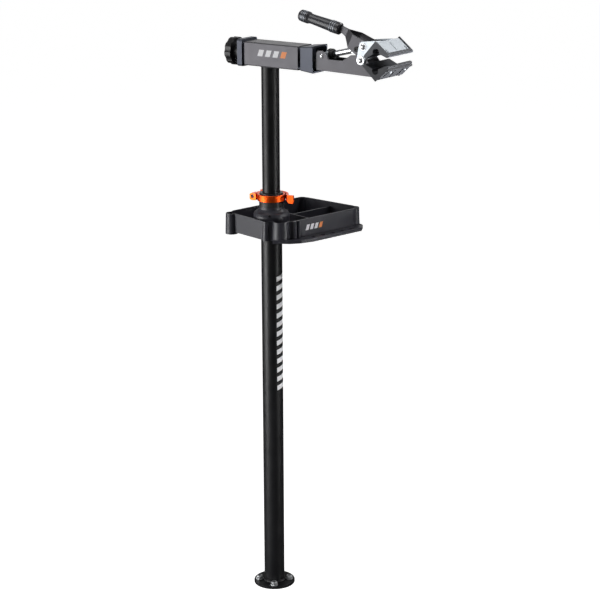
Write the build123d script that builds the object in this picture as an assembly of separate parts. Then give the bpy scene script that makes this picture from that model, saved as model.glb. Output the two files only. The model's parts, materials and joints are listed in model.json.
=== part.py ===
from build123d import *
import math
import os

# Floor-mounted bike repair stand: a bolted-down lower tube, a sliding and turning mast,
# a turning clamp head with a toggle lever, and a tool tray round the lower tube.
# Millimetres. Origin: centre of the floor flange's underside. +X runs along the arm to the jaws, +Z is up.

# ---- driving dimensions ----
flange_r = 54.5
flange_t = 6.0
anchor_pcd = 80.0
anchor_hole_r = 5.5
anchor_turn = 35.0            # degrees from +X to the first anchor
anchor_count = 4

lower_r = 27.0                # 54 mm stock tube
lower_wall = 1.6
upper_r = 22.5                # 45 mm stock tube
upper_wall = 1.6
upper_bottom = 600.0
run_gap = 0.05                # radial running clearance of a shaft or sliding fit
free_gap = 0.35               # clearance between moving pieces that never touch

collar_top = 1073.4
collar_height = 16.8
sleeve_r = 31.0
sleeve_bottom = 1042.0
ring_r = 35.8
slot_w = 3.0
lug_reach = 22.0              # how far the near lug stands out along the skewer
nut_seat = 14.0               # depth of the nut's seat from the slot
nut_r = 5.6
cam_half = 8.2                # half height of the lever's cam
tab_length = 15.0             # finger tab at the lever's tip

housing_x = (-57.0, 105.0)
housing_z = (1398.5, 1457.0)
housing_w = 60.0
housing_wall = 3.0
head_z = 1427.5               # height of the axis that the clamp head turns on
spindle_r = 8.0

block_x = (113.4, 150.0)      # clamp block, from the friction disc to its open mouth
arm_half = 25.0               # outer half width of the arm's channel
plate_t = 3.0
pin_r = 5.0
pivot_link = (172.0, 1438.0)  # x, z of the pivots, seen from the side
pivot_jaw = (287.0, 1438.0)
pivot_toggle = (271.0, 1462.0)
pivot_lever = (293.5, 1470.5)
ear_in = 25.5                 # ears of the upper jaw run just outside the arm
lever_in = 18.6               # lever plates run just inside the arm

jaw_x = 344.0
jaw_half = 54.0               # half width of the jaw pads
upper_apex_z = 1490.0
lower_apex_z = 1395.6
upper_jaw_tilt = 5.0          # degrees the upper jaw is open from parallel

tray_turn = -13.0             # degrees about the tube
tray_floor_z = 966.0
tray_top_z = 1015.0
tray_wall = 2.6
tray_floor_t = 3.0
post_foot = 5.0               # how far the corner posts reach below the tray's floor
tray_corners = ((-114.0, -54.0), (38.0, -54.0), (83.0, 1.0), (83.0, 238.0), (-114.0, 208.0))
rack_edge = 117.0             # outer edge of the tool rack


# ---- helpers ----
def cyl(r, low, high, x=0.0, y=0.0):
    """Upright cylinder between two heights."""
    return Pos(x, y, (low + high) / 2) * Cylinder(r, high - low)


def ring(r_out, r_in, low, high, x=0.0, y=0.0):
    """Upright tube between two heights."""
    return cyl(r_out, low, high, x, y) - cyl(r_in, low - 1, high + 1, x, y)


def bar_x(r, low, high, y=0.0, z=head_z):
    """Round bar along X."""
    return Pos((low + high) / 2, y, z) * Rot(0, 90, 0) * Cylinder(r, high - low)


def bar_y(r, low, high, at):
    """Round bar along Y through the point (x, z)."""
    return Pos(at[0], (low + high) / 2, at[1]) * Rot(90, 0, 0) * Cylinder(r, high - low)


def block(x, y, z):
    """Box given by its low and high bound on each axis."""
    size = Box(x[1] - x[0], y[1] - y[0], z[1] - z[0])
    return Pos(sum(x) / 2, sum(y) / 2, sum(z) / 2) * size


def sheet(points):
    """Flat face bounded by straight runs."""
    return make_face(Polyline(*points, close=True))


def side_plate(outline, low, high):
    """Side-view outline, drawn as x, z, given a width from y = low to y = high."""
    return extrude(Plane.XZ.offset(-low) * outline, -(high - low))


def both_sides(outline, inner, outer):
    """The same plate on both sides of the arm's centre plane."""
    return [side_plate(outline, -outer, -inner), side_plate(outline, inner, outer)]


def turned(profile):
    """Solid of revolution about Z from points given as radius, height."""
    return revolve(Plane.XZ * sheet(profile), Axis.Z)


def rounded(solid, axis, radius):
    """Rounds the edges that run along an axis."""
    return fillet(solid.edges().filter_by(axis), radius)


def hexagon(across, low, high, x=0.0, y=0.0):
    """Upright hexagonal prism of a given width across its flats."""
    return Pos(x, y, low) * extrude(RegularPolygon(across / 2, 6, major_radius=False), high - low)


def dome_head(r, height):
    """Domed bolt head standing on z = 0."""
    ball_r = (r * r + height * height) / (2 * height)
    ball = Pos(0, 0, height - ball_r) * Sphere(ball_r)
    return ball & cyl(r, 0, height + 1)


def on_side(piece, at, y):
    """Puts a piece that stands on z = 0 on the side of the arm at y, pointing away from it."""
    tilt = 90 if y < 0 else -90
    return Pos(at[0], y, at[1]) * Rot(tilt, 0, 0) * piece


def polar(r, degrees):
    return (r * math.cos(math.radians(degrees)), r * math.sin(math.radians(degrees)))


# ---- foot ----
def anchor_places():
    step = 360 / anchor_count
    return [polar(anchor_pcd / 2, anchor_turn + k * step) for k in range(anchor_count)]


def make_flange():
    weld = turned([(0, flange_t - 1), (lower_r + 2.6, flange_t - 1), (lower_r + 2.6, flange_t),
                   (lower_r, flange_t + 4.0), (0, flange_t + 4.0)])
    plate = cyl(flange_r, 0, flange_t)
    plate = fillet(plate.edges().group_by(Axis.Z)[-1], 1.2)
    plate = plate + weld - cyl(lower_r, flange_t - 2, flange_t + 5)
    for x, y in anchor_places():
        plate -= cyl(anchor_hole_r, -1, flange_t + 1, x, y)
    return plate


def make_lower_tube():
    tube = ring(lower_r, lower_r - lower_wall, flange_t - 2, collar_top)
    slot = block((-lower_r - 2, -lower_r + 3), (-slot_w / 2, slot_w / 2), (sleeve_bottom + 6, collar_top + 1))
    return tube - slot


def make_anchor_washers():
    return [ring(10.0, anchor_hole_r, flange_t, flange_t + 2.0, x, y) for x, y in anchor_places()]


def make_anchor_nuts():
    low = flange_t + 2.0
    nuts = []
    for x, y in anchor_places():
        nut = hexagon(17.0, low, low + 8.4, x, y)
        crown = cone_between(x, y, 15.0, 6.4, low - 0.8, low + 8.4)
        nuts.append((nut & crown) - cyl(5.05, low - 1, low + 10, x, y))
    return nuts


# ---- tray ----
def in_tray(piece):
    """Turns a piece from the tray's own axes to the stand's."""
    return Rot(0, 0, tray_turn) * piece


def tray_outline(inset):
    """Plan of the tray's wall, moved inwards by a distance."""
    outline = sheet(tray_corners)
    ends = tray_corners[0], tray_corners[3], tray_corners[4]
    sharp = [v for v in outline.vertices() if min(math.dist((v.X, v.Y), c) for c in ends) < 1]
    outline = fillet(sharp, 27.0)
    return offset(outline, -inset) if inset else outline


def footed_posts():
    """The posts at the three square corners, which reach a little lower than the tray's floor."""
    return [(-95.7, -53.0, 14.6, 16.0), (71, 224, 12.0, 13.8), (-101, 195, 13.2, 15.0)]


def corner_posts():
    """Tapered ribs and lobes at the tray's corners: x, y, radius at the rim, radius at the foot."""
    return [(60, -21, 20.7, 23.4), (36, -49, 7.8, 10.2)] + footed_posts()


def small_posts():
    return [(84.0, 4.5, 4.8, 6.0), (85.5, 16.5, 3.8, 4.7)]


def cone_between(x, y, r_low, r_high, low, high):
    return Pos(x, y, (low + high) / 2) * Cone(r_low, r_high, high - low)


def make_tray():
    height = tray_top_z - tray_floor_z
    shell = extrude(Pos(0, 0, tray_floor_z) * tray_outline(0), height)
    for x, y, rim, foot in corner_posts() + small_posts():
        shell += cone_between(x, y, foot, rim, tray_floor_z, tray_top_z)
    for x, y, rim, foot in footed_posts():
        shell += cyl(foot, tray_floor_z - post_foot, tray_floor_z, x, y)
    low = tray_floor_z + tray_floor_t
    room = extrude(Pos(0, 0, low) * tray_outline(tray_wall), height)
    for x, y, rim, foot in corner_posts():
        room += cone_between(x, y, foot - tray_wall, rim - tray_wall, low, tray_top_z + 1)
    tray = shell - room
    tray += make_tray_dividers()
    tray += turned([(0, tray_floor_z), (48, tray_floor_z), (46, 1021), (43, 1026.5), (36, 1031), (32.4, 1036),
                    (31.6, sleeve_bottom), (0, sleeve_bottom)])
    tray -= turned([(0, low), (45, low), (43, 1013), (lower_r + 2.5, 1020), (0, 1020)])
    tray = in_tray(tray) - cyl(lower_r, tray_floor_z - 5, sleeve_bottom + 5)
    for screw in make_tray_screws():
        tray -= screw
    return tray


def make_tray_dividers():
    """Low walls that split the tray into three bins."""
    low = tray_floor_z + tray_floor_t - 0.5
    high = tray_top_z - 12
    cross = block((-113, 82), (86, 88.6), (low, high))
    long = block((-18, -15.4), (88, 221), (low, high))
    return cross + long


def rack_hole_places():
    """Five tool holes along the rack, as distances along the tray's side."""
    return [54.0 + 33.0 * k for k in range(5)]


def make_rack():
    """Shelf with tool holes that stands out from the tray's side."""
    front = [(62, -50), (95, -22), (109, 4), (rack_edge, 40)]
    outline = sheet(front + [(rack_edge, 206), (96, 231), (80, 234), (60, 200)])
    outline = fillet(outline.vertices().filter_by_position(Axis.X, 88, 120), 12.0)
    plate = extrude(Pos(0, 0, tray_floor_z) * outline, 3.6)
    lip = extrude(Pos(0, 0, tray_floor_z - 3.6) * outline, 8.6)
    plate += lip - extrude(Pos(0, 0, tray_floor_z - 5) * offset(outline, -3.0), 15)
    for y in rack_hole_places():
        plate -= cyl(6.4, tray_floor_z - 5, tray_floor_z + 8, 99.5, y)
    solid = extrude(Pos(0, 0, tray_floor_z - 6) * tray_outline(0), 60)
    for x, y, rim, foot in corner_posts() + small_posts():
        solid += cone_between(x, y, foot, rim, tray_floor_z, tray_top_z)
    for x, y, rim, foot in footed_posts() + small_posts():
        solid += cyl(foot, tray_floor_z - post_foot, tray_floor_z, x, y)
    return in_tray(plate - solid)


def make_tray_screws():
    """Socket screws that hold the tray's boss to the lower tube."""
    screws = []
    for turn in (60, 180, 300):
        shank = Pos(lower_r + 8.5, 0, 1024) * Rot(0, 90, 0) * Cylinder(2.0, 17)
        head = Pos(lower_r + 17.0, 0, 1024) * Rot(0, 90, 0) * Cylinder(3.4, 4.0)
        screws.append(Rot(0, 0, turn) * (shank + head))
    return screws


# ---- height clamp ----
def collar_low():
    return collar_top - collar_height


def make_collar_sleeve():
    sleeve = ring(sleeve_r, lower_r, sleeve_bottom, collar_top)
    half = slot_w / 2
    slot = block((-sleeve_r - 2, -lower_r + 2), (-half, half), (sleeve_bottom + 6, collar_top + 1))
    return sleeve - slot


def make_collar_ring():
    low, high = collar_low(), collar_top
    body = ring(ring_r, sleeve_r, low, high)
    body = chamfer(body.edges().filter_by(GeomType.CIRCLE).sort_by(SortBy.RADIUS)[-2:], 0.8)
    for start, end, foot, top in ((-lug_reach, 0, -1.8, high - 0.8), (0, 14, 2.0, high - 2.0)):
        lug = block((-52.5, -ring_r + 3), (start, end), (low + foot, top))
        body += rounded(lug, Axis.Y, 5.0) - cyl(ring_r - 1, low, high)
    body -= block((-60, -sleeve_r + 1), (-slot_w / 2, slot_w / 2), (low - 1, high + 1))
    at = skewer_at()
    return body - bar_y(3.1, -30, 20, at) - bar_y(nut_r, -lug_reach - 1, -nut_seat, at)


def skewer_at():
    return (-43.5, collar_top - collar_height / 2)


def cam_at():
    return (-43.5, 25.5)


def make_qr_skewer():
    at = skewer_at()
    rod = bar_y(3.0, -lug_reach + 1.5, 22, at)
    eye = cyl(5.8, at[1] - 3.5, at[1] + 3.5, *cam_at()) - cyl(3.2, at[1] - 6, at[1] + 6, *cam_at())
    return rod - cyl(5.0, at[1] - 6, at[1] + 6, *cam_at()) + eye


def make_qr_nut():
    at = skewer_at()
    nut = bar_y(nut_r, -lug_reach + 0.6, -nut_seat, at) - bar_y(3.0, -30, -10, at)
    socket = Pos(at[0], -lug_reach + 0.6, at[1]) * Rot(90, 0, 0) * hexagon(6.4, -4.0, 1)
    return nut - socket


def make_qr_washer():
    at = skewer_at()
    return bar_y(6.4, 14, 16.2, at) - bar_y(3.1, 10, 20, at)


def make_qr_pin():
    z = skewer_at()[1]
    return cyl(3.15, z - cam_half, z + cam_half, *cam_at())


def lever_blade():
    """Plan of the lever: a band that runs clockwise round the ring and curls outwards into a finger tab."""
    outer_r, inner_r = 44.0, 38.5
    start, end, curl, curl_r = 147, 20, 80, 3.5
    turns = [start + (end - start) * k / 24 for k in range(25)]
    cx, cy = polar(outer_r + curl_r, end)
    bends = [end + 180 + curl * k / 8 for k in range(9)]
    outside = [polar(outer_r, a) for a in turns[:-1]] + [(cx + x, cy + y) for x, y in arc(curl_r, bends)]
    inside = [polar(inner_r, a) for a in turns[:-1]]
    inside += [(cx + x, cy + y) for x, y in arc(curl_r + outer_r - inner_r, bends)]
    dx, dy = polar(tab_length, end + curl - 90)
    near, far = outside[-1], inside[-1]
    outline = outside + [(near[0] + dx, near[1] + dy), (far[0] + dx, far[1] + dy)] + inside[::-1]
    tab = sheet([near, (near[0] + dx, near[1] + dy), (far[0] + dx, far[1] + dy), far])
    return sheet(outline), fillet(tab.vertices().sort_by(Axis.X)[-2:], 1.5)


def arc(r, turns):
    return [polar(r, a) for a in turns]


def make_qr_lever():
    """Lever that wraps round the ring and swings about the cam pin."""
    z = skewer_at()[1]
    low, high = z - cam_half, z + cam_half
    x, y = cam_at()
    cam = cyl(8.2, low, high, x, y)
    blade, tab = lever_blade()
    body = cam + extrude(Pos(0, 0, low) * blade, high - low)
    body += extrude(Pos(0, 0, low - 4.5) * tab, high - low + 4.5)
    fork = (z - 3.9, z + 3.9)
    body -= cyl(6.4, *fork, x, y)
    body -= block((x - 20, x + 6.4), (y - 20, y), fork) + block((x - 20, x), (y - 1, y + 7.2), fork)
    body -= cyl(ring_r + 1.2, low - 1, high + 1)
    body -= block((x - 14, x + 14), (y - 14, 16.5), (low - 1, high + 1))
    return body - cyl(3.15 + run_gap, low - 1, high + 1, x, y)


def make_guide_bushing():
    liner = ring(lower_r - lower_wall - run_gap, upper_r + run_gap, collar_top - 60, collar_top)
    return liner + ring(sleeve_r - 1.5, upper_r + run_gap, collar_top, collar_top + 3.6)


# ---- mast ----
def make_upper_tube():
    return ring(upper_r, upper_r - upper_wall, upper_bottom, housing_z[0])


def make_mast_glide():
    """Plastic sleeve at the mast's lower end."""
    glide = ring(lower_r - lower_wall - free_gap, upper_r - 2.0, upper_bottom - 8, upper_bottom + 16)
    return glide - ring(upper_r, upper_r - upper_wall, upper_bottom, upper_bottom + 40)


def make_housing():
    half = housing_w / 2
    shell = rounded(block(housing_x, (-half, half), housing_z), Axis.X, 3.0)
    inner = block((housing_x[0] - 1, housing_x[1] + 1), (-half + housing_wall, half - housing_wall),
                  (housing_z[0] + housing_wall, housing_z[1] - housing_wall))
    return shell - rounded(inner, Axis.X, 1.5)


def housing_plug(low, high):
    """Block that fills the housing's bore between two places."""
    half = housing_w / 2 - housing_wall
    plug = block((low, high), (-half, half), (housing_z[0] + housing_wall, housing_z[1] - housing_wall))
    return rounded(plug, Axis.X, 1.5)


def make_end_cap():
    flange = rounded(block((-79, -63), (-33, 32), (1395.0, 1462.5)), Axis.X, 6.0)
    flange = fillet(flange.edges().group_by(Axis.X)[0], 2.0)
    neck = rounded(block((-63, -57), (-27, 27), (1403, 1454)), Axis.X, 1.5)
    cap = flange + neck + housing_plug(housing_x[0], housing_x[0] + 16)
    return cap - bar_x(spindle_r + run_gap, -90, 0)


def make_front_plug():
    return housing_plug(88, housing_x[1]) - bar_x(spindle_r + run_gap, 80, 120)


def make_knob():
    """Fluted tension knob at the back of the head."""
    disc = bar_x(35.0, -118, -99)
    for k in range(9):
        y, z = polar(54.0, k * 40 + 9)
        disc -= bar_x(21.0, -120, -90, y, head_z + z)
    disc = fillet(disc.edges().group_by(Axis.X)[0], 2.5)
    hub = bar_x(22.0, -99, -79)
    knob = disc + hub
    knob -= bar_x(24.0, -119, -115)
    return knob - bar_x(13.0, -110, -78) - bar_x(9.5, -120, -100)


def make_knob_insert():
    return bar_x(13.0, -110, -79) - bar_x(spindle_r + run_gap, -125, -70)


# ---- clamp head ----
def make_spindle():
    return bar_x(spindle_r, -112, 122)


def make_friction_washer():
    return bar_x(25.0, housing_x[1], 107.5) - bar_x(spindle_r + run_gap, 90, 120)


def make_friction_disc():
    disc = bar_x(23.0, 107.5, block_x[0])
    for k in range(12):
        y, z = polar(25.0, k * 30)
        disc -= bar_x(3.5, 105, 111, y, head_z + z)
    return disc - bar_x(spindle_r, 90, 120)


def frustum(x, height, width, inset):
    """Tapered block along X: heights and widths at its two ends, less an inset all round."""
    faces = []
    for place, tall, wide in zip(x, height, width):
        face = Rectangle(wide - 2 * inset, tall - 2 * inset)
        face = fillet(face.vertices(), max(3.0 - inset, 0.8))
        faces.append(Plane(origin=(place, 0, head_z), x_dir=(0, 1, 0), z_dir=(1, 0, 0)) * face)
    return loft(faces)


def make_clamp_block():
    outer = frustum(block_x, (58, 65.6), (62, 65), 0)
    inner = frustum((122, 151), (58.8, 65.8), (62.5, 65.1), 4.0)
    return outer - inner - bar_x(spindle_r, 110, 130)


def make_arm_root():
    """Solid tongue that joins the arm's channel to the clamp block."""
    return block((122, 186), (-arm_half + plate_t, arm_half - plate_t), (1406, 1423))


def arm_side():
    outline = sheet([(156.5, 1404), (156.5, 1451), (177, 1451), (191.5, 1432), (232, 1431.5), (256, 1447),
                     (276, 1449), (300, 1441), (310, 1429.4), (340.5, 1400.4), (339, 1399.5)])
    outline += Pos(*pivot_jaw) * Circle(12.0)
    corner = outline.vertices().sort_by_distance(Vector(156.5, 1451, 0))[:2]
    return fillet(corner, 9.0)


def make_arm():
    sides = both_sides(arm_side(), arm_half - plate_t, arm_half)
    web = sheet([(156.5, 1404), (337, 1399.5), (336, 1403.0), (156.5, 1407)])
    arm = sides[0] + sides[1] + side_plate(web, -arm_half + plate_t, arm_half - plate_t)
    arm -= make_arm_root() + make_lower_plate() + make_lower_pad()
    for at in (pivot_link, pivot_jaw):
        arm -= bar_y(pin_r, -40, 40, at)
    return arm


def make_link_pin():
    pin = bar_y(pin_r, -arm_half, arm_half, pivot_link)
    for y in (-arm_half, arm_half):
        pin += on_side(dome_head(5.8, 3.0), pivot_link, y)
    return pin


def make_jaw_pin():
    reach = ear_in + plate_t + 0.5
    pin = bar_y(pin_r, -reach, reach, pivot_jaw)
    for y in (-reach, reach):
        pin += on_side(cyl(10.0, 0, 1.6) + Pos(0, 0, 1.6) * dome_head(7.6, 4.4), pivot_jaw, y)
    return pin


# ---- jaws, drawn with the ridge at the origin and the mouth below ----
groove_places = (-24, 8, 40)
leg_run = 34.3
leg_drop = 32.5
groove_r = 8.6               # keyhole groove for cables
leg_plate_t = 3.0
plate_sink = 2.2              # how far the jaw's plate lies below the pad's end walls
end_wall = 4.0


def pad_section():
    half = [(leg_run, -leg_drop), (35.3, -35.6), (33.0, -38.4), (29.0, -39.2), (0, -25.7)]
    mirrored = [(-x, z) for x, z in reversed(half[:-1])]
    return sheet([(0, 0)] + half + mirrored) - Pos(0, -25.1) * Circle(groove_r)


def leg_point(along, depth):
    """Point on the right leg at a share of its length, and a depth under its outer face."""
    length = math.hypot(leg_run, leg_drop)
    ux, uz = leg_run / length, -leg_drop / length
    return (ux * along * length + uz * depth, uz * along * length - ux * depth)


def plate_section(depth=plate_sink, thickness=leg_plate_t, share=0.86):
    """Bent plate that lies a little way under the ends of the pad."""
    fold = math.hypot(leg_run, leg_drop) / leg_run
    tip, tip_in = leg_point(share, depth), leg_point(share, depth + thickness)
    half = [tip, tip_in, (0, -(depth + thickness) * fold)]
    left = [(-tip_in[0], tip_in[1]), (-tip[0], tip[1])]
    return sheet([(0, -depth * fold)] + half + left)


def make_jaw_pad_body():
    """Pad with end walls, a keyhole groove for cables, and a seat for the jaw's plate."""
    pad = side_plate(pad_section(), -jaw_half, jaw_half)
    seat = plate_section(-0.5, plate_sink + leg_plate_t + 0.5)
    return pad - side_plate(seat, -jaw_half + end_wall, jaw_half - end_wall)


def place_upper(piece):
    return Pos(jaw_x, 0, upper_apex_z) * Rot(0, -upper_jaw_tilt, 0) * piece


def place_lower(piece):
    return Pos(jaw_x + 0.5, 0, lower_apex_z) * Rot(180, 0, 0) * piece


def make_upper_pad():
    return place_upper(make_jaw_pad_body())


def make_lower_pad():
    """Pad whose front leg is thicker, with grooves across it and a bead along its lip."""
    skin = sheet([leg_point(0.13, 0.3), leg_point(0.97, 0.3), leg_point(0.97, -2.4), leg_point(0.18, -2.4)])
    bead = sheet([leg_point(0.86, 0.3), leg_point(0.99, 0.3), leg_point(0.985, -4.4), leg_point(0.88, -4.4)])
    groove = sheet([leg_point(0.1, -0.2), leg_point(0.86, -0.2), leg_point(0.86, -4), leg_point(0.1, -4)])
    cover = side_plate(skin, -jaw_half, jaw_half) + side_plate(bead, -jaw_half, jaw_half)
    for y in groove_places:
        cover -= side_plate(groove, y - 2.6, y + 2.6)
    plate = side_plate(plate_section(), -jaw_half + end_wall, jaw_half - end_wall)
    return place_lower(make_jaw_pad_body() + cover - plate)


def make_lower_plate():
    return place_lower(side_plate(plate_section(), -jaw_half + end_wall, jaw_half - end_wall))


def make_lower_screws():
    """Pan-head screws that hold the lower pad to its plate."""
    x, z = leg_point(0.66, -2.4)
    turn = math.degrees(math.atan2(leg_run, leg_drop))
    screws = []
    for y in (-40, 24):
        screw = dome_head(3.2, 1.8)
        screws.append(place_lower(Pos(x, y, z) * Rot(0, 90 - turn, 0) * screw))
    return screws


def ear_side():
    """Side view of one ear: round at both pivots, running up to the jaw's ridge."""
    hull_circles = Sketch() + [Pos(*pivot_jaw) * Circle(11.5), Pos(*pivot_lever) * Circle(12.0)]
    ear = make_hull(hull_circles.edges())
    web = sheet([(292.5, 1482.4), (328, 1486.5), (342, 1487.6), (343, 1486), (314, 1452), (300, 1451),
                 (297, 1443), pivot_jaw, pivot_lever])
    return ear + web


def make_upper_bracket():
    plate = side_plate(plate_section(), -jaw_half + end_wall, jaw_half - end_wall)
    rise = plate_sink - 1.2
    rib = sheet([leg_point(0.2, 3.0), leg_point(0.76, 3.0), leg_point(0.73, rise), leg_point(0.23, rise)])
    plate += side_plate(rib, -2, 2)
    x, z = leg_point(0.72, 3.0)
    slot = extrude(SlotOverall(11.0, 4.6), 6, both=True)
    for y in (-41.5, 41.5):
        plate -= Pos(x, y, z) * Rot(0, math.degrees(math.atan2(leg_drop, leg_run)), 0) * slot
    bracket = place_upper(plate)
    pad = make_upper_pad()
    for ear in both_sides(ear_side(), ear_in, ear_in + plate_t):
        bracket += ear - pad
    for at, r in ((pivot_jaw, pin_r + run_gap), (pivot_lever, pin_r)):
        bracket -= bar_y(r, -40, 40, at)
    return bracket


def make_lever_pin():
    reach = ear_in + plate_t
    pin = bar_y(pin_r, -reach, reach, pivot_lever)
    for y in (-reach, reach):
        pin += on_side(cyl(8.6, 0, 1.2) + Pos(0, 0, 1.2) * dome_head(7.8, 4.6), pivot_lever, y)
    return pin


def make_lever_spacers():
    low, high = lever_in + plate_t + free_gap, ear_in
    return [bar_y(8.0, a, b, pivot_lever) - bar_y(pin_r, -40, 40, pivot_lever)
            for a, b in ((-high, -low), (low, high))]


# ---- toggle lever ----
bend_top, bend_low = (258.5, 1496.3), (245.2, 1463.8)
neck_top, neck_low = (234.6, 1504.8), (226.1, 1486.9)
tail_end = 90.0               # how far the plates run inside the grip
grip_right, grip_left = (210.8, 1503.6), (93.6, 1529.8)


def grip_angle():
    dx, dz = grip_left[0] - grip_right[0], grip_left[1] - grip_right[1]
    return math.degrees(math.atan2(dz, -dx))


def grip_length():
    return math.dist(grip_right, grip_left)


def lever_quad(top, low, y_in, y_out):
    """Upright rectangle across the plate's thickness at a bend line."""
    upper = [(top[0], y_in, top[1]), (top[0], y_out, top[1])]
    return sheet(upper + [(low[0], y_out, low[1]), (low[0], y_in, low[1])])


def make_lever_plate(side):
    """One of the two pressed plates: flat at the pivots, bent in to the neck, then along the grip."""
    outline = sheet([bend_top, bend_low, (273, 1445.5), (280, 1448.5), pivot_lever, (294.5, 1482.4)])
    outline += Pos(*pivot_lever) * Circle(12.0)
    low, high = sorted((side * lever_in, side * (lever_in + plate_t)))
    plate = side_plate(outline, low, high)
    plate += loft([lever_quad(bend_top, bend_low, side * lever_in, side * (lever_in + plate_t)),
                   lever_quad(neck_top, neck_low, 0.0, side * plate_t)], ruled=True)
    neck = sheet([neck_top, neck_low, (212.5, 1496.9), (206.0, 1498.0), (208.5, 1511.6), (215.5, 1511.4)])
    plate += side_plate(neck, *sorted((0.0, side * plate_t)))
    tail = block((-3, tail_end), sorted((0.0, -side * plate_t)), (-7, 7))
    plate += on_grip(tail)
    plate -= bar_y(pin_r + run_gap, -40, 40, pivot_lever)
    return plate - bar_y(3.5, -40, 40, pivot_toggle)


def on_grip(piece):
    """Puts a piece drawn along +X from the grip's right end on the grip's axis."""
    return Pos(grip_right[0], 0, grip_right[1]) * Rot(0, grip_angle(), 0) * Rot(0, 0, 180) * piece


def grip_profile():
    """Radius of the rubber at places along the grip."""
    end = grip_length()
    collar = [(0, 0), (0, 12.6), (2, 14.6), (11, 15.0), (12, 14.4), (28, 14.4), (31, 14.0)]
    waist = [(60, 12.9), (end - 37, 12.2), (end - 31, 12.4), (end - 25, 14.6), (end - 21, 14.9)]
    return collar + waist + [(end - 20, 14.2), (end - 3, 14.0), (end, 12.0), (end, 0)]


def make_grip():
    body = revolve(Plane.XZ * sheet(grip_profile()), Axis.X)
    core = block((-5, tail_end), (-plate_t, plate_t), (-7, 7))
    mouth = block((-5, 8), (-plate_t, plate_t), (-11.0, 11.0))
    body = body - core - mouth
    for place, r in ring_places():
        body -= Pos(place, 0, 0) * Rot(0, 90, 0) * (Cylinder(r + 4, ring_w) - Cylinder(r - 1.6, 4))
    return on_grip(body)


ring_w = 1.8                  # width of the rings let into the grip


def ring_places():
    far = grip_length() - 9.5
    return [(13.0 + 5.8 * k, 15.1) for k in range(3)] + [(far - 4.6 * k, 14.7) for k in range(3)]


def make_grip_rings():
    rings = []
    for place, r in ring_places():
        band = Cylinder(r, ring_w) - Cylinder(r - 1.6, 4)
        rings.append(on_grip(Pos(place, 0, 0) * Rot(0, 90, 0) * band))
    return rings


def make_toggle_bolts():
    """Shoulder bolts, one in each lever plate, that carry the link's far end."""
    bolts = []
    outer = lever_in + plate_t
    for side in (-1, 1):
        low, high = sorted((side * 9.5, side * outer))
        head = fillet(cyl(6.6, 0, 3.2).edges().group_by(Axis.Z)[-1], 0.8) - hexagon(5.0, 1.2, 5)
        bolts.append(bar_y(3.5, low, high, pivot_toggle) + on_side(head, pivot_toggle, side * outer))
    return bolts


# ---- link ----
def link_axis():
    dx, dz = pivot_toggle[0] - pivot_link[0], pivot_toggle[1] - pivot_link[1]
    return math.degrees(math.atan2(dz, dx)), math.hypot(dx, dz)


def on_link(piece):
    """Puts a piece drawn along +X from the rear pivot on the link."""
    return Pos(pivot_link[0], 0, pivot_link[1]) * Rot(0, -link_axis()[0], 0) * piece


def link_bar(r, low, high):
    return Pos((low + high) / 2, 0, 0) * Rot(0, 90, 0) * Cylinder(r, high - low)


def make_link_rod():
    """Eye on the arm's rear pin with a threaded rod."""
    eye = Rot(90, 0, 0) * Cylinder(8.5, 20)
    rod = link_bar(4.8, 6, 60)
    hole = Rot(90, 0, 0) * Cylinder(pin_r + run_gap, 30)
    return on_link(eye + rod - hole)


def make_link_barrel():
    """Chromed barrel on the rod's thread, with a flat tongue inside the lever."""
    length = link_axis()[1]
    barrel = link_bar(7.6, 30, 78)
    barrel = fillet(barrel.edges().group_by(Axis.X)[0], 1.0)
    tongue = block((74, length), (-6, 6), (-6.5, 6.5))
    eye = Pos(length, 0, 0) * Rot(90, 0, 0) * Cylinder(8.0, 12)
    hole = Pos(length, 0, 0) * Rot(90, 0, 0) * Cylinder(3.6, 30)
    return on_link(barrel + tongue + eye - hole - link_bar(4.8, 5, 60))


def make_adjuster():
    """Knurled wheel that sets the clamp's grip."""
    wheel = link_bar(12.6, 11.5, 20.5)
    for k in range(12):
        y, z = polar(14.2, 30 * k)
        wheel -= Pos(16, y, z) * Rot(0, 90, 0) * Cylinder(2.4, 20)
    boss = link_bar(8.0, 20.5, 25.5)
    return on_link(wheel + boss - link_bar(4.8 + run_gap, 5, 40))


# ---- assembly ----
def as_list(made):
    return list(made) if isinstance(made, (list, tuple)) else [made]


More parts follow.
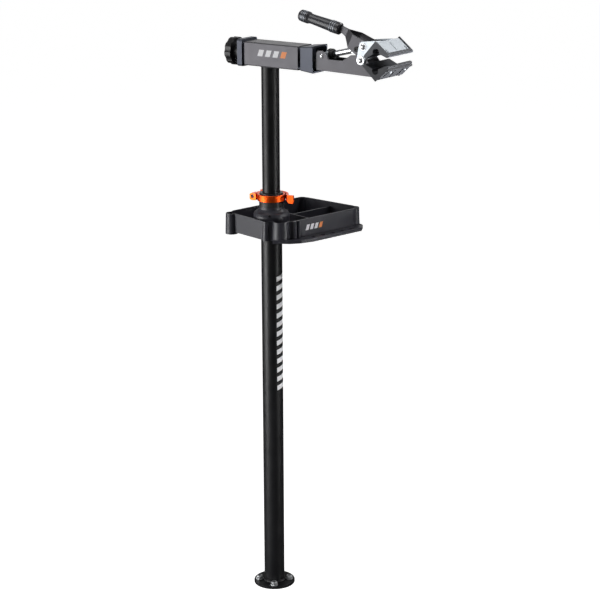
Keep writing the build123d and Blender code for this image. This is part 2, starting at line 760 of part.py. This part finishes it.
sub_parts = {
    "floor_flange": make_flange(),
    "lower_tube": make_lower_tube(),
    "anchor_washers": make_anchor_washers(),
    "anchor_nuts": make_anchor_nuts(),
    "tool_tray": make_tray(),
    "tool_rack": make_rack(),
    "tray_screws": make_tray_screws(),
    "collar_sleeve": make_collar_sleeve(),
    "collar_ring": make_collar_ring(),
    "qr_skewer": make_qr_skewer(),
    "qr_nut": make_qr_nut(),
    "qr_washer": make_qr_washer(),
    "qr_pin": make_qr_pin(),
    "qr_lever": make_qr_lever(),
    "guide_bushing": make_guide_bushing(),
    "upper_tube": make_upper_tube(),
    "mast_glide": make_mast_glide(),
    "head_housing": make_housing(),
    "rear_end_cap": make_end_cap(),
    "front_plug": make_front_plug(),
    "friction_washer": make_friction_washer(),
    "tension_knob": make_knob(),
    "knob_insert": make_knob_insert(),
    "spindle": make_spindle(),
    "friction_disc": make_friction_disc(),
    "clamp_block": make_clamp_block(),
    "arm_root": make_arm_root(),
    "clamp_arm": make_arm(),
    "link_pin": make_link_pin(),
    "jaw_pin": make_jaw_pin(),
    "lower_jaw_plate": make_lower_plate(),
    "lower_jaw_pad": make_lower_pad(),
    "lower_pad_screws": make_lower_screws(),
    "upper_jaw_bracket": make_upper_bracket(),
    "upper_jaw_pad": make_upper_pad(),
    "lever_pin": make_lever_pin(),
    "lever_spacers": make_lever_spacers(),
    "lever_plate_near": make_lever_plate(-1),
    "lever_plate_far": make_lever_plate(1),
    "toggle_bolts": make_toggle_bolts(),
    "lever_grip": make_grip(),
    "grip_rings": make_grip_rings(),
    "link_rod": make_link_rod(),
    "link_barrel": make_link_barrel(),
    "adjuster_wheel": make_adjuster(),
}

os.makedirs("parts", exist_ok=True)
for name, made in sub_parts.items():
    export_step(Compound(children=as_list(made)), f"parts/{name}.step")
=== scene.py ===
import bpy
import bmesh
import json
import math
from mathutils import Matrix, Vector


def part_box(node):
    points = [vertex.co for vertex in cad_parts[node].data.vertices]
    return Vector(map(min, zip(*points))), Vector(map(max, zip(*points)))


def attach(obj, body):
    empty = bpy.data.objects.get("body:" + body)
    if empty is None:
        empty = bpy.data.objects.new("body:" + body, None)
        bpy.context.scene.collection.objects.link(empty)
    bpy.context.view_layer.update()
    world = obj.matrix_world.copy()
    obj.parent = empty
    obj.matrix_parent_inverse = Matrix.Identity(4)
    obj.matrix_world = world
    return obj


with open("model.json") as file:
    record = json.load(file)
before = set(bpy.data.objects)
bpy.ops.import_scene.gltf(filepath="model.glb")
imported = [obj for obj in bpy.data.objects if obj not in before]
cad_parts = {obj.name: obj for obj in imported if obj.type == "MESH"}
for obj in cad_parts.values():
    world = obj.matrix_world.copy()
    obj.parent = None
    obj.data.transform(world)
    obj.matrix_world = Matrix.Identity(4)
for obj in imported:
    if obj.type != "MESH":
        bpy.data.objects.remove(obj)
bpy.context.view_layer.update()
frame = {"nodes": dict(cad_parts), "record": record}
nodes = frame["nodes"]
scene = bpy.context.scene
MM = 0.001


# ---------------------------------------------------------------- materials
class Paint:
    """Builds one node material step by step."""

    def __init__(self, name):
        self.mat = bpy.data.materials.new(name)
        self.mat.use_nodes = True
        self.tree = self.mat.node_tree
        self.tree.nodes.clear()
        self.out = self.add("ShaderNodeOutputMaterial")
        self.shader = self.add("ShaderNodeBsdfPrincipled")
        self.join(self.shader, "BSDF", self.out, "Surface")
        self.place = self.add("ShaderNodeTexCoord")

    def add(self, kind, **values):
        """New node; a value sets the node's own setting, or else its input of that name."""
        made = self.tree.nodes.new(kind)
        for name, value in values.items():
            if hasattr(made, name):
                setattr(made, name, value)
            else:
                made.inputs[name.replace("_", " ")].default_value = value
        return made

    def join(self, a, out_name, b, in_name):
        self.tree.links.new(a.outputs[out_name], b.inputs[in_name])

    def noise(self, scale, detail=4.0, stretch=None):
        """Noise in the object's own space, drawn out along an axis when a stretch is given."""
        tex = self.add("ShaderNodeTexNoise", Scale=scale, Detail=detail, Roughness=0.55)
        mapping = self.add("ShaderNodeMapping", Scale=stretch or (1.0, 1.0, 1.0))
        self.join(self.place, "Object", mapping, "Vector")
        self.join(mapping, "Vector", tex, "Vector")
        return tex

    def spread(self, tex, low, high, from_low=0.3, from_high=0.7):
        """A texture's values from from_low to from_high, spread out to run from low to high."""
        ramp = self.add("ShaderNodeMapRange", From_Min=from_low, From_Max=from_high, To_Min=low, To_Max=high)
        self.join(tex, "Fac", ramp, "Value")
        return ramp

    def mix(self, factor, factor_out, low, high):
        """Blend of two colours; each is a colour or the mix node before it."""
        blend = self.add("ShaderNodeMix", data_type="RGBA")
        self.join(factor, factor_out, blend, "Factor")
        for index, value in ((6, low), (7, high)):
            if isinstance(value, bpy.types.Node):
                self.tree.links.new(value.outputs[2], blend.inputs[index])
            else:
                blend.inputs[index].default_value = (*value, 1.0)
        return blend

    def colour(self, blend, shader, socket):
        """Leads a mix node's colour to a shader."""
        self.tree.links.new(blend.outputs[2], shader.inputs[socket])

    def worn_and_highlit_edge_mask(self, radius):
        """1 along convex edges, which are lightened as worn finish and as a painted edge highlight; 0 on
        open faces.
        """
        bevel = self.add("ShaderNodeBevel", samples=4, Radius=radius)
        flat = self.add("ShaderNodeNewGeometry")
        dot = self.add("ShaderNodeVectorMath", operation="DOT_PRODUCT")
        self.join(bevel, "Normal", dot, "Vector")
        self.join(flat, "Normal", dot, 1)
        mask = self.add("ShaderNodeMapRange", From_Min=0.995, From_Max=0.80)
        self.join(dot, "Value", mask, "Value")
        return mask

    def grain(self, tex, strength, depth, rounding):
        """Fine bump on top of softly rounded edges."""
        bump = self.add("ShaderNodeBump", Strength=strength, Distance=depth)
        self.join(tex, "Fac", bump, "Height")
        bevel = self.add("ShaderNodeBevel", samples=4, Radius=rounding)
        self.join(bevel, "Normal", bump, "Normal")
        self.join(bump, "Normal", self.shader, "Normal")


def shade(colour, factor):
    return tuple(min(1.0, c * factor) for c in colour)


looks = {}
EDGE_WEAR_AND_HIGHLIGHT_RADIUS = 0.0011


def surface(name, colour, rough, metallic=0.0, mottle=0.12, mottle_scale=35.0, grain=(900.0, 0.25, 0.0002),
            rough_spread=0.05, edge_wear_and_highlight=None, edge_wear_and_highlight_amount=0.5, stretch=None, rounding=0.0006, coat=0.0,
            specular=0.5):
    """Paint, plastic, rubber or metal with mottled colour, uneven gloss and lighter convex edges, kept in
    looks; the lighter edges are partly worn finish and partly a painted edge highlight.

    grain is the scale, strength and depth of the fine bump."""
    paint = Paint(name)
    cloud = paint.noise(mottle_scale, 5.0, stretch)
    fine = paint.noise(grain[0], 3.0, stretch)
    dark, light = shade(colour, 1 - mottle), shade(colour, 1 + mottle)
    colours = paint.mix(paint.spread(cloud, 0.0, 1.0), "Result", dark, light)
    # convex edges are mixed towards a lighter colour: partly worn finish, partly a painted edge highlight
    if edge_wear_and_highlight:
        broken = paint.spread(paint.noise(160.0, 6.0), 0.0, edge_wear_and_highlight_amount, 0.35, 0.62)
        both = paint.add("ShaderNodeMath", operation="MULTIPLY")
        paint.join(paint.worn_and_highlit_edge_mask(EDGE_WEAR_AND_HIGHLIGHT_RADIUS), "Result", both, 0)
        paint.join(broken, "Result", both, 1)
        colours = paint.mix(both, "Value", colours, edge_wear_and_highlight)
    paint.colour(colours, paint.shader, "Base Color")
    gloss = paint.spread(cloud, rough - rough_spread, rough + rough_spread)
    paint.join(gloss, "Result", paint.shader, "Roughness")
    paint.shader.inputs["Metallic"].default_value = metallic
    paint.shader.inputs["Specular IOR Level"].default_value = specular
    if coat:
        paint.shader.inputs["Coat Weight"].default_value = coat
        paint.shader.inputs["Coat Roughness"].default_value = 0.25
    paint.grain(fine, grain[1], grain[2], rounding)
    looks[name] = paint.mat


# in the looks below, the lighter edge colour is partly worn finish and partly a painted edge highlight
# powder coat and anodising
surface("tube_paint", (0.0048, 0.0048, 0.0056), 0.37, mottle=0.10, grain=(1400.0, 0.22, 0.0001),
        edge_wear_and_highlight=(0.10, 0.10, 0.10), edge_wear_and_highlight_amount=0.35, specular=0.32)
surface("flange_paint", (0.0040, 0.0040, 0.0046), 0.52, grain=(1400.0, 0.22, 0.0001),
        edge_wear_and_highlight=(0.10, 0.10, 0.10), edge_wear_and_highlight_amount=0.3, specular=0.15)
surface("head_paint", (0.098, 0.096, 0.104), 0.46, metallic=0.7, mottle=0.06,
        grain=(1300.0, 0.25, 0.0001), edge_wear_and_highlight=(0.30, 0.30, 0.31), edge_wear_and_highlight_amount=0.4, specular=0.4)
surface("jaw_paint", (0.016, 0.016, 0.018), 0.42, edge_wear_and_highlight=(0.16, 0.16, 0.17))
surface("slate_metal", (0.070, 0.076, 0.096), 0.46, metallic=0.5, mottle=0.08,
        grain=(1100.0, 0.3, 0.0001), edge_wear_and_highlight=(0.30, 0.31, 0.34), edge_wear_and_highlight_amount=0.4, specular=0.4)
surface("orange_anodised", (0.88, 0.088, 0.004), 0.34, metallic=0.88, mottle=0.05,
        grain=(1800.0, 0.10, 0.00004), edge_wear_and_highlight=(0.95, 0.40, 0.16), edge_wear_and_highlight_amount=0.4, coat=0.05)
surface("ring_grey", (0.30, 0.32, 0.36), 0.32, metallic=0.4, mottle=0.08)

# moulded plastic and fibre
surface("tray_plastic", (0.025, 0.025, 0.033), 0.40, grain=(2300.0, 0.5, 0.00012),
        edge_wear_and_highlight=(0.09, 0.09, 0.10), edge_wear_and_highlight_amount=0.6, specular=0.45)
surface("collar_plastic", (0.010, 0.010, 0.011), 0.5, grain=(2000.0, 0.4, 0.0001))
surface("bushing_plastic", (0.008, 0.008, 0.009), 0.42, grain=(2000.0, 0.4, 0.0001))
surface("knob_plastic", (0.010, 0.010, 0.011), 0.40, grain=(1800.0, 0.5, 0.00014),
        edge_wear_and_highlight=(0.07, 0.07, 0.075))
surface("friction_fibre", (0.010, 0.010, 0.010), 0.6, mottle=0.3, mottle_scale=220.0)

# rubber
surface("jaw_rubber", (0.040, 0.042, 0.049), 0.52, mottle=0.14, grain=(1300.0, 0.6, 0.0002),
        edge_wear_and_highlight=(0.09, 0.09, 0.095), edge_wear_and_highlight_amount=0.6, specular=0.35)
surface("jaw_rubber_upper", (0.062, 0.067, 0.080), 0.50, mottle=0.14, grain=(1300.0, 0.6, 0.0002),
        edge_wear_and_highlight=(0.12, 0.12, 0.125), edge_wear_and_highlight_amount=0.6)
surface("grip_rubber", (0.046, 0.046, 0.053), 0.28, mottle=0.15, grain=(1700.0, 0.5, 0.00014),
        edge_wear_and_highlight=(0.06, 0.06, 0.06))

# bare and plated metal
surface("black_oxide", (0.006, 0.006, 0.007), 0.40, specular=0.3, grain=(900.0, 0.3, 0.00008))
surface("zinc_steel", (0.69, 0.74, 0.79), 0.36, metallic=0.30, mottle=0.05, mottle_scale=260.0,
        grain=(1500.0, 0.2, 0.00003), rough_spread=0.06, stretch=(1.0, 3.0, 1.0))
surface("galvanised", (0.42, 0.43, 0.44), 0.34, metallic=0.85, mottle=0.25, mottle_scale=160.0,
        grain=(900.0, 0.4, 0.0001), rough_spread=0.10)
surface("chrome", (0.90, 0.91, 0.93), 0.19, metallic=0.85, mottle=0.03,
        grain=(300.0, 0.08, 0.00003), rough_spread=0.04, rounding=0.0004)
surface("spindle_steel", (0.42, 0.42, 0.43), 0.28, metallic=1.0, mottle=0.1,
        grain=(1500.0, 0.3, 0.00006), stretch=(14.0, 1.0, 1.0))

# printed marks
surface("print_light", (0.78, 0.78, 0.80), 0.5, mottle=0.05, mottle_scale=220.0, rounding=0.0001)
surface("print_orange", (0.85, 0.27, 0.07), 0.5, mottle=0.06, mottle_scale=220.0, rounding=0.0001)

# nodes that look different from the rest of their slot
OWN_LOOK = {"floor_flange": "flange_paint", "upper_jaw_pad": "jaw_rubber_upper", "qr_skewer": "black_oxide"}

for part in frame["record"]["subparts"]:
    obj = nodes[part["node"]]
    obj.data.materials.clear()
    obj.data.materials.append(looks[OWN_LOOK.get(part["node"], part["material_slot"])])


# ---------------------------------------------------------------- detail pieces, in millimetres
def box_of(node):
    """A node's lowest and highest corners in millimetres."""
    low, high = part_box(node)
    return Vector(low) / MM, Vector(high) / MM


HOUSING = box_of("head_housing")[0]             # its corner at the rear, near side and underside
LOWER_TUBE_R = box_of("lower_tube")[1].x
UPPER_TUBE_R = box_of("upper_tube")[1].x
FLOOR = box_of("floor_flange")[0].z


def add_piece(name, body, look, verts, faces, smooth=False):
    """Makes a mesh piece from points in millimetres and puts it on a body."""
    mesh = bpy.data.meshes.new(name)
    mesh.from_pydata([tuple(c * MM for c in v) for v in verts], [], faces)
    piece = bpy.data.objects.new(name, mesh)
    scene.collection.objects.link(piece)
    work = bmesh.new()
    work.from_mesh(mesh)
    bmesh.ops.recalc_face_normals(work, faces=work.faces)
    work.to_mesh(mesh)
    work.free()
    if smooth:
        mesh.shade_smooth()
    mesh.materials.append(looks[look])
    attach(piece, body)


def weld_bead(name, body, slot, r, z, size, ripples):
    """Rippled weld bead round a vertical tube: r and z place its middle, size is its radius."""
    steps, sides = ripples * 6, 10
    verts, faces = [], []
    for k in range(steps):
        turn = 2 * math.pi * k / steps
        swell = size * (1 + 0.10 * math.cos(ripples * turn) + 0.03 * math.sin(5 * turn))
        for j in range(sides):
            round_it = 2 * math.pi * j / sides
            out = r + swell * math.cos(round_it)
            verts.append((out * math.cos(turn), out * math.sin(turn), z + swell * math.sin(round_it)))
            here, beside = k * sides, (k + 1) % steps * sides
            after = (j + 1) % sides
            faces.append((here + j, here + after, beside + after, beside + j))
    add_piece(name, body, slot, verts, faces, smooth=True)


PRINT_SUNK, PRINT_PROUD = 0.1, 0.15             # how far a printed mark reaches into and out of a surface


def sticker(name, body, look, outline, place):
    """Thin printed shape: a convex outline in u, v laid on a surface by place(u, v, height)."""
    count = len(outline)
    verts = [place(u, v, height) for height in (-PRINT_SUNK, PRINT_PROUD) for u, v in outline]
    faces = [tuple(range(count))[::-1], tuple(range(count, 2 * count))]
    faces += [(k, (k + 1) % count, (k + 1) % count + count, k + count) for k in range(count)]
    add_piece(name, body, look, verts, faces)


STRIPES = 4


def stripe_row(name, body, place, first, pitch, width, low, high, lean):
    """Row of slanted printed stripes, the last one orange; first, pitch, width and lean run along u."""
    for k in range(STRIPES):
        left = first + pitch * k
        right = left + width
        outline = [(left, low), (right, low), (right + lean, high), (left + lean, high)]
        last = k == STRIPES - 1
        slot, look = ("orange_anodised", "print_orange") if last else ("ring_grey", "print_light")
        sticker("%s_%d" % (name, k + 1), body, look, outline, place)


def on_housing(u, v, height):
    """u along the arm, v up from the housing's underside, on its near face."""
    return Vector((u, HOUSING.y - height, HOUSING.z + v))


TRAY_TURN = math.radians(-13.0)
TRAY_SIDE = 83.0                # from the tube's axis to the tray's side wall, in the tray's own axes


def on_tray(u, v, height):
    """u along the tray's side wall, v as height above the floor of the room."""
    x, y = TRAY_SIDE + height, u
    return Vector((x * math.cos(TRAY_TURN) - y * math.sin(TRAY_TURN),
                   x * math.sin(TRAY_TURN) + y * math.cos(TRAY_TURN), v))


DASHES, DASH_START, DASH_PITCH = 13, 553.0, 24.5
DASH_ACROSS, DASH_TALL, DASH_LEAN, DASH_STEPS = 27.0, 13.0, 7.0, 12


def tube_dash(index):
    """Slanted printed dash that wraps round the lower tube, facing along +X."""
    inner, outer = LOWER_TUBE_R - PRINT_SUNK, LOWER_TUBE_R + PRINT_PROUD
    verts, faces = [], []
    for k in range(DASH_STEPS + 1):
        share = k / DASH_STEPS
        turn = (share - 0.5) * DASH_ACROSS / LOWER_TUBE_R
        low = DASH_START + DASH_PITCH * index + DASH_LEAN * share
        for r, z in ((inner, low), (outer, low), (outer, low + DASH_TALL), (inner, low + DASH_TALL)):
            verts.append((r * math.cos(turn), r * math.sin(turn), z))
    for k in range(DASH_STEPS):
        for j in range(4):
            here, after = 4 * k + j, 4 * k + (j + 1) % 4
            faces.append((here, after, after + 4, here + 4))
    end = 4 * DASH_STEPS
    faces += [(0, 1, 2, 3), (end, end + 1, end + 2, end + 3)]
    add_piece("tube_mark_%02d" % index, "base", "print_light", verts, faces)


stripe_row("head_mark", "mast", on_housing, first=-17, pitch=23, width=15, low=26, high=42, lean=6)
stripe_row("tray_mark", "base", on_tray, first=42, pitch=15, width=10, low=985, high=999, lean=5)
for index in range(DASHES):
    tube_dash(index)
weld_bead("foot_weld", "base", "tube_paint", r=LOWER_TUBE_R + 0.9, z=FLOOR + 9.0, size=2.3, ripples=40)
weld_bead("head_weld", "mast", "head_paint", r=UPPER_TUBE_R + 0.6, z=HOUSING.z - 0.4, size=2.2, ripples=34)


# ---------------------------------------------------------------- camera, light and floor, in metres
CAMERA_PLACE = Vector((2.51804, -3.43071, 2.0310))
CAMERA_FORWARD = Vector((-0.55480, 0.78357, -0.27966)).normalized()
CAMERA_UP = Vector((-0.15847, 0.23046, 0.96009))        # leans a little, because the camera is rolled


def add_camera():
    data = bpy.data.cameras.new("camera")
    data.sensor_width = 36.0
    data.lens = 102.96
    data.shift_x = -0.0005
    camera = bpy.data.objects.new("camera", data)
    side = CAMERA_FORWARD.cross(CAMERA_UP).normalized()
    turned = Matrix((side, side.cross(CAMERA_FORWARD), -CAMERA_FORWARD)).transposed()
    camera.matrix_world = Matrix.Translation(CAMERA_PLACE) @ turned.to_4x4()
    scene.collection.objects.link(camera)
    scene.camera = camera


def softbox(name, place, size, watts, aim, spread=180):
    """Area lamp at a place, turned to shine at a point, with a beam of a given spread in degrees."""
    data = bpy.data.lights.new(name, "AREA")
    data.shape = "RECTANGLE"
    data.size, data.size_y = size
    data.energy = watts
    data.spread = math.radians(spread)
    lamp = bpy.data.objects.new(name, data)
    lamp.location = place
    lamp.rotation_euler = (Vector(aim) - Vector(place)).to_track_quat("-Z", "Y").to_euler()
    scene.collection.objects.link(lamp)


def left_of_camera(degrees, distance, height):
    """Place round the stand, turned from the camera to its left by an angle."""
    turn = math.atan2(CAMERA_PLACE.y, CAMERA_PLACE.x) - math.radians(degrees)
    return distance * math.cos(turn), distance * math.sin(turn), height


def add_lamps():
    """One large softbox on the left does most of the work; the others fill and rim what it leaves dark."""
    middle, jaws = (0.0, 0.0, 0.9), (0.30, 0.0, 1.42)
    softbox("key", left_of_camera(80, 2.8, 1.0), (1.9, 2.4), 66, aim=(0.05, 0.0, 0.9))
    softbox("left_fill", left_of_camera(46, 3.2, 0.95), (0.7, 2.0), 10, aim=middle)
    softbox("low_left", left_of_camera(66, 2.4, 0.30), (1.0, 0.8), 4.0, aim=(0.0, 0.0, 0.24), spread=40)
    softbox("right_fill", left_of_camera(-64, 2.8, 0.6), (0.4, 1.2), 2.2, aim=(0.0, 0.0, 0.40), spread=34)
    softbox("low_right", (1.15, 0.35, 0.45), (0.3, 0.5), 2.5, aim=(0.36, 0.0, 1.42), spread=36)
    softbox("high_right", (1.5, 1.6, 3.0), (1.2, 1.2), 44, aim=jaws)
    softbox("overhead", (-0.35, -0.5, 3.2), (0.8, 1.0), 9, aim=(0.15, 0.0, 1.3))
    softbox("foot", left_of_camera(35, 1.3, 0.7), (0.3, 0.3), 0.5, aim=(0.0, 0.0, 0.02), spread=60)
    softbox("back", left_of_camera(178, 3.0, 2.3), (1.6, 1.3), 8, aim=middle)


BACKDROP, AMBIENT = 1.0, 0.13   # what the camera sees behind the stand, and what lights the stand


def add_world():
    """White to look at, but a dim surrounding for everything else."""
    world = bpy.data.worlds.new("world")
    scene.world = world
    world.use_nodes = True
    sky = world.node_tree
    dim = sky.nodes["Background"]
    bright = sky.nodes.new("ShaderNodeBackground")
    for background, strength in ((dim, AMBIENT), (bright, BACKDROP)):
        background.inputs["Color"].default_value = (1.0, 1.0, 1.0, 1.0)
        background.inputs["Strength"].default_value = strength
    seen = sky.nodes.new("ShaderNodeLightPath")
    choice = sky.nodes.new("ShaderNodeMixShader")
    sky.links.new(seen.outputs["Is Camera Ray"], choice.inputs[0])
    sky.links.new(dim.outputs[0], choice.inputs[1])
    sky.links.new(bright.outputs[0], choice.inputs[2])
    sky.links.new(choice.outputs[0], sky.nodes["World Output"].inputs["Surface"])


# middle and reach of a painted pool of light on the floor, left of the camera
PAINTED_LIGHT_POOL_MIDDLE, PAINTED_LIGHT_POOL_REACH = left_of_camera(45, 1.3, 0.0), 1.2


def floor_material():
    """White studio floor to look at; to the stand a dim one, with a painted pool of light on the lit side.
    """
    paint = Paint("floor_white")
    paper = paint.noise(3.0, 4.0)
    tone = paint.mix(paint.spread(paper, 0.0, 1.0), "Result", (0.40,) * 3, (0.42,) * 3)
    paint.colour(tone, paint.shader, "Base Color")
    paint.shader.inputs["Roughness"].default_value = 0.9
    paint.shader.inputs["Emission Color"].default_value = (1.0, 1.0, 1.0, 1.0)
    paint.shader.inputs["Emission Strength"].default_value = 0.94

    # painted pool of light: the floor seen by the stand is brighter round a spot where the key lamp would
    # light it
    to_painted_light_pool = paint.add("ShaderNodeMapping", Scale=(1 / PAINTED_LIGHT_POOL_REACH,) * 3,
                        Location=[-c / PAINTED_LIGHT_POOL_REACH for c in PAINTED_LIGHT_POOL_MIDDLE])
    painted_light_pool = paint.add("ShaderNodeTexGradient", gradient_type="SPHERICAL")
    paint.join(paint.place, "Object", to_painted_light_pool, "Vector")
    paint.join(to_painted_light_pool, "Vector", painted_light_pool, "Vector")
    grey = paint.add("ShaderNodeBsdfDiffuse")
    # dim floor at 0.07, rising to 0.40 inside the painted pool of light
    dim = paint.mix(paint.spread(painted_light_pool, 0.0, 1.0, 0.0, 0.6), "Result", (0.07,) * 3, (0.40,) * 3)
    paint.colour(dim, grey, "Color")

    path = paint.add("ShaderNodeLightPath")
    either = paint.add("ShaderNodeMixShader")
    paint.join(path, "Is Camera Ray", either, 0)
    paint.join(grey, "BSDF", either, 1)
    paint.join(paint.shader, "BSDF", either, 2)
    paint.join(either, "Shader", paint.out, "Surface")
    return paint.mat


def add_floor(half=14):
    mesh = bpy.data.meshes.new("floor")
    corners = [(-half, -half, 0), (half, -half, 0), (half, half, 0), (-half, half, 0)]
    mesh.from_pydata(corners, [], [(0, 1, 2, 3)])
    mesh.materials.append(floor_material())
    floor = bpy.data.objects.new("floor", mesh)
    scene.collection.objects.link(floor)


add_camera()
add_lamps()
add_world()
add_floor()
scene.view_settings.view_transform = "Standard"
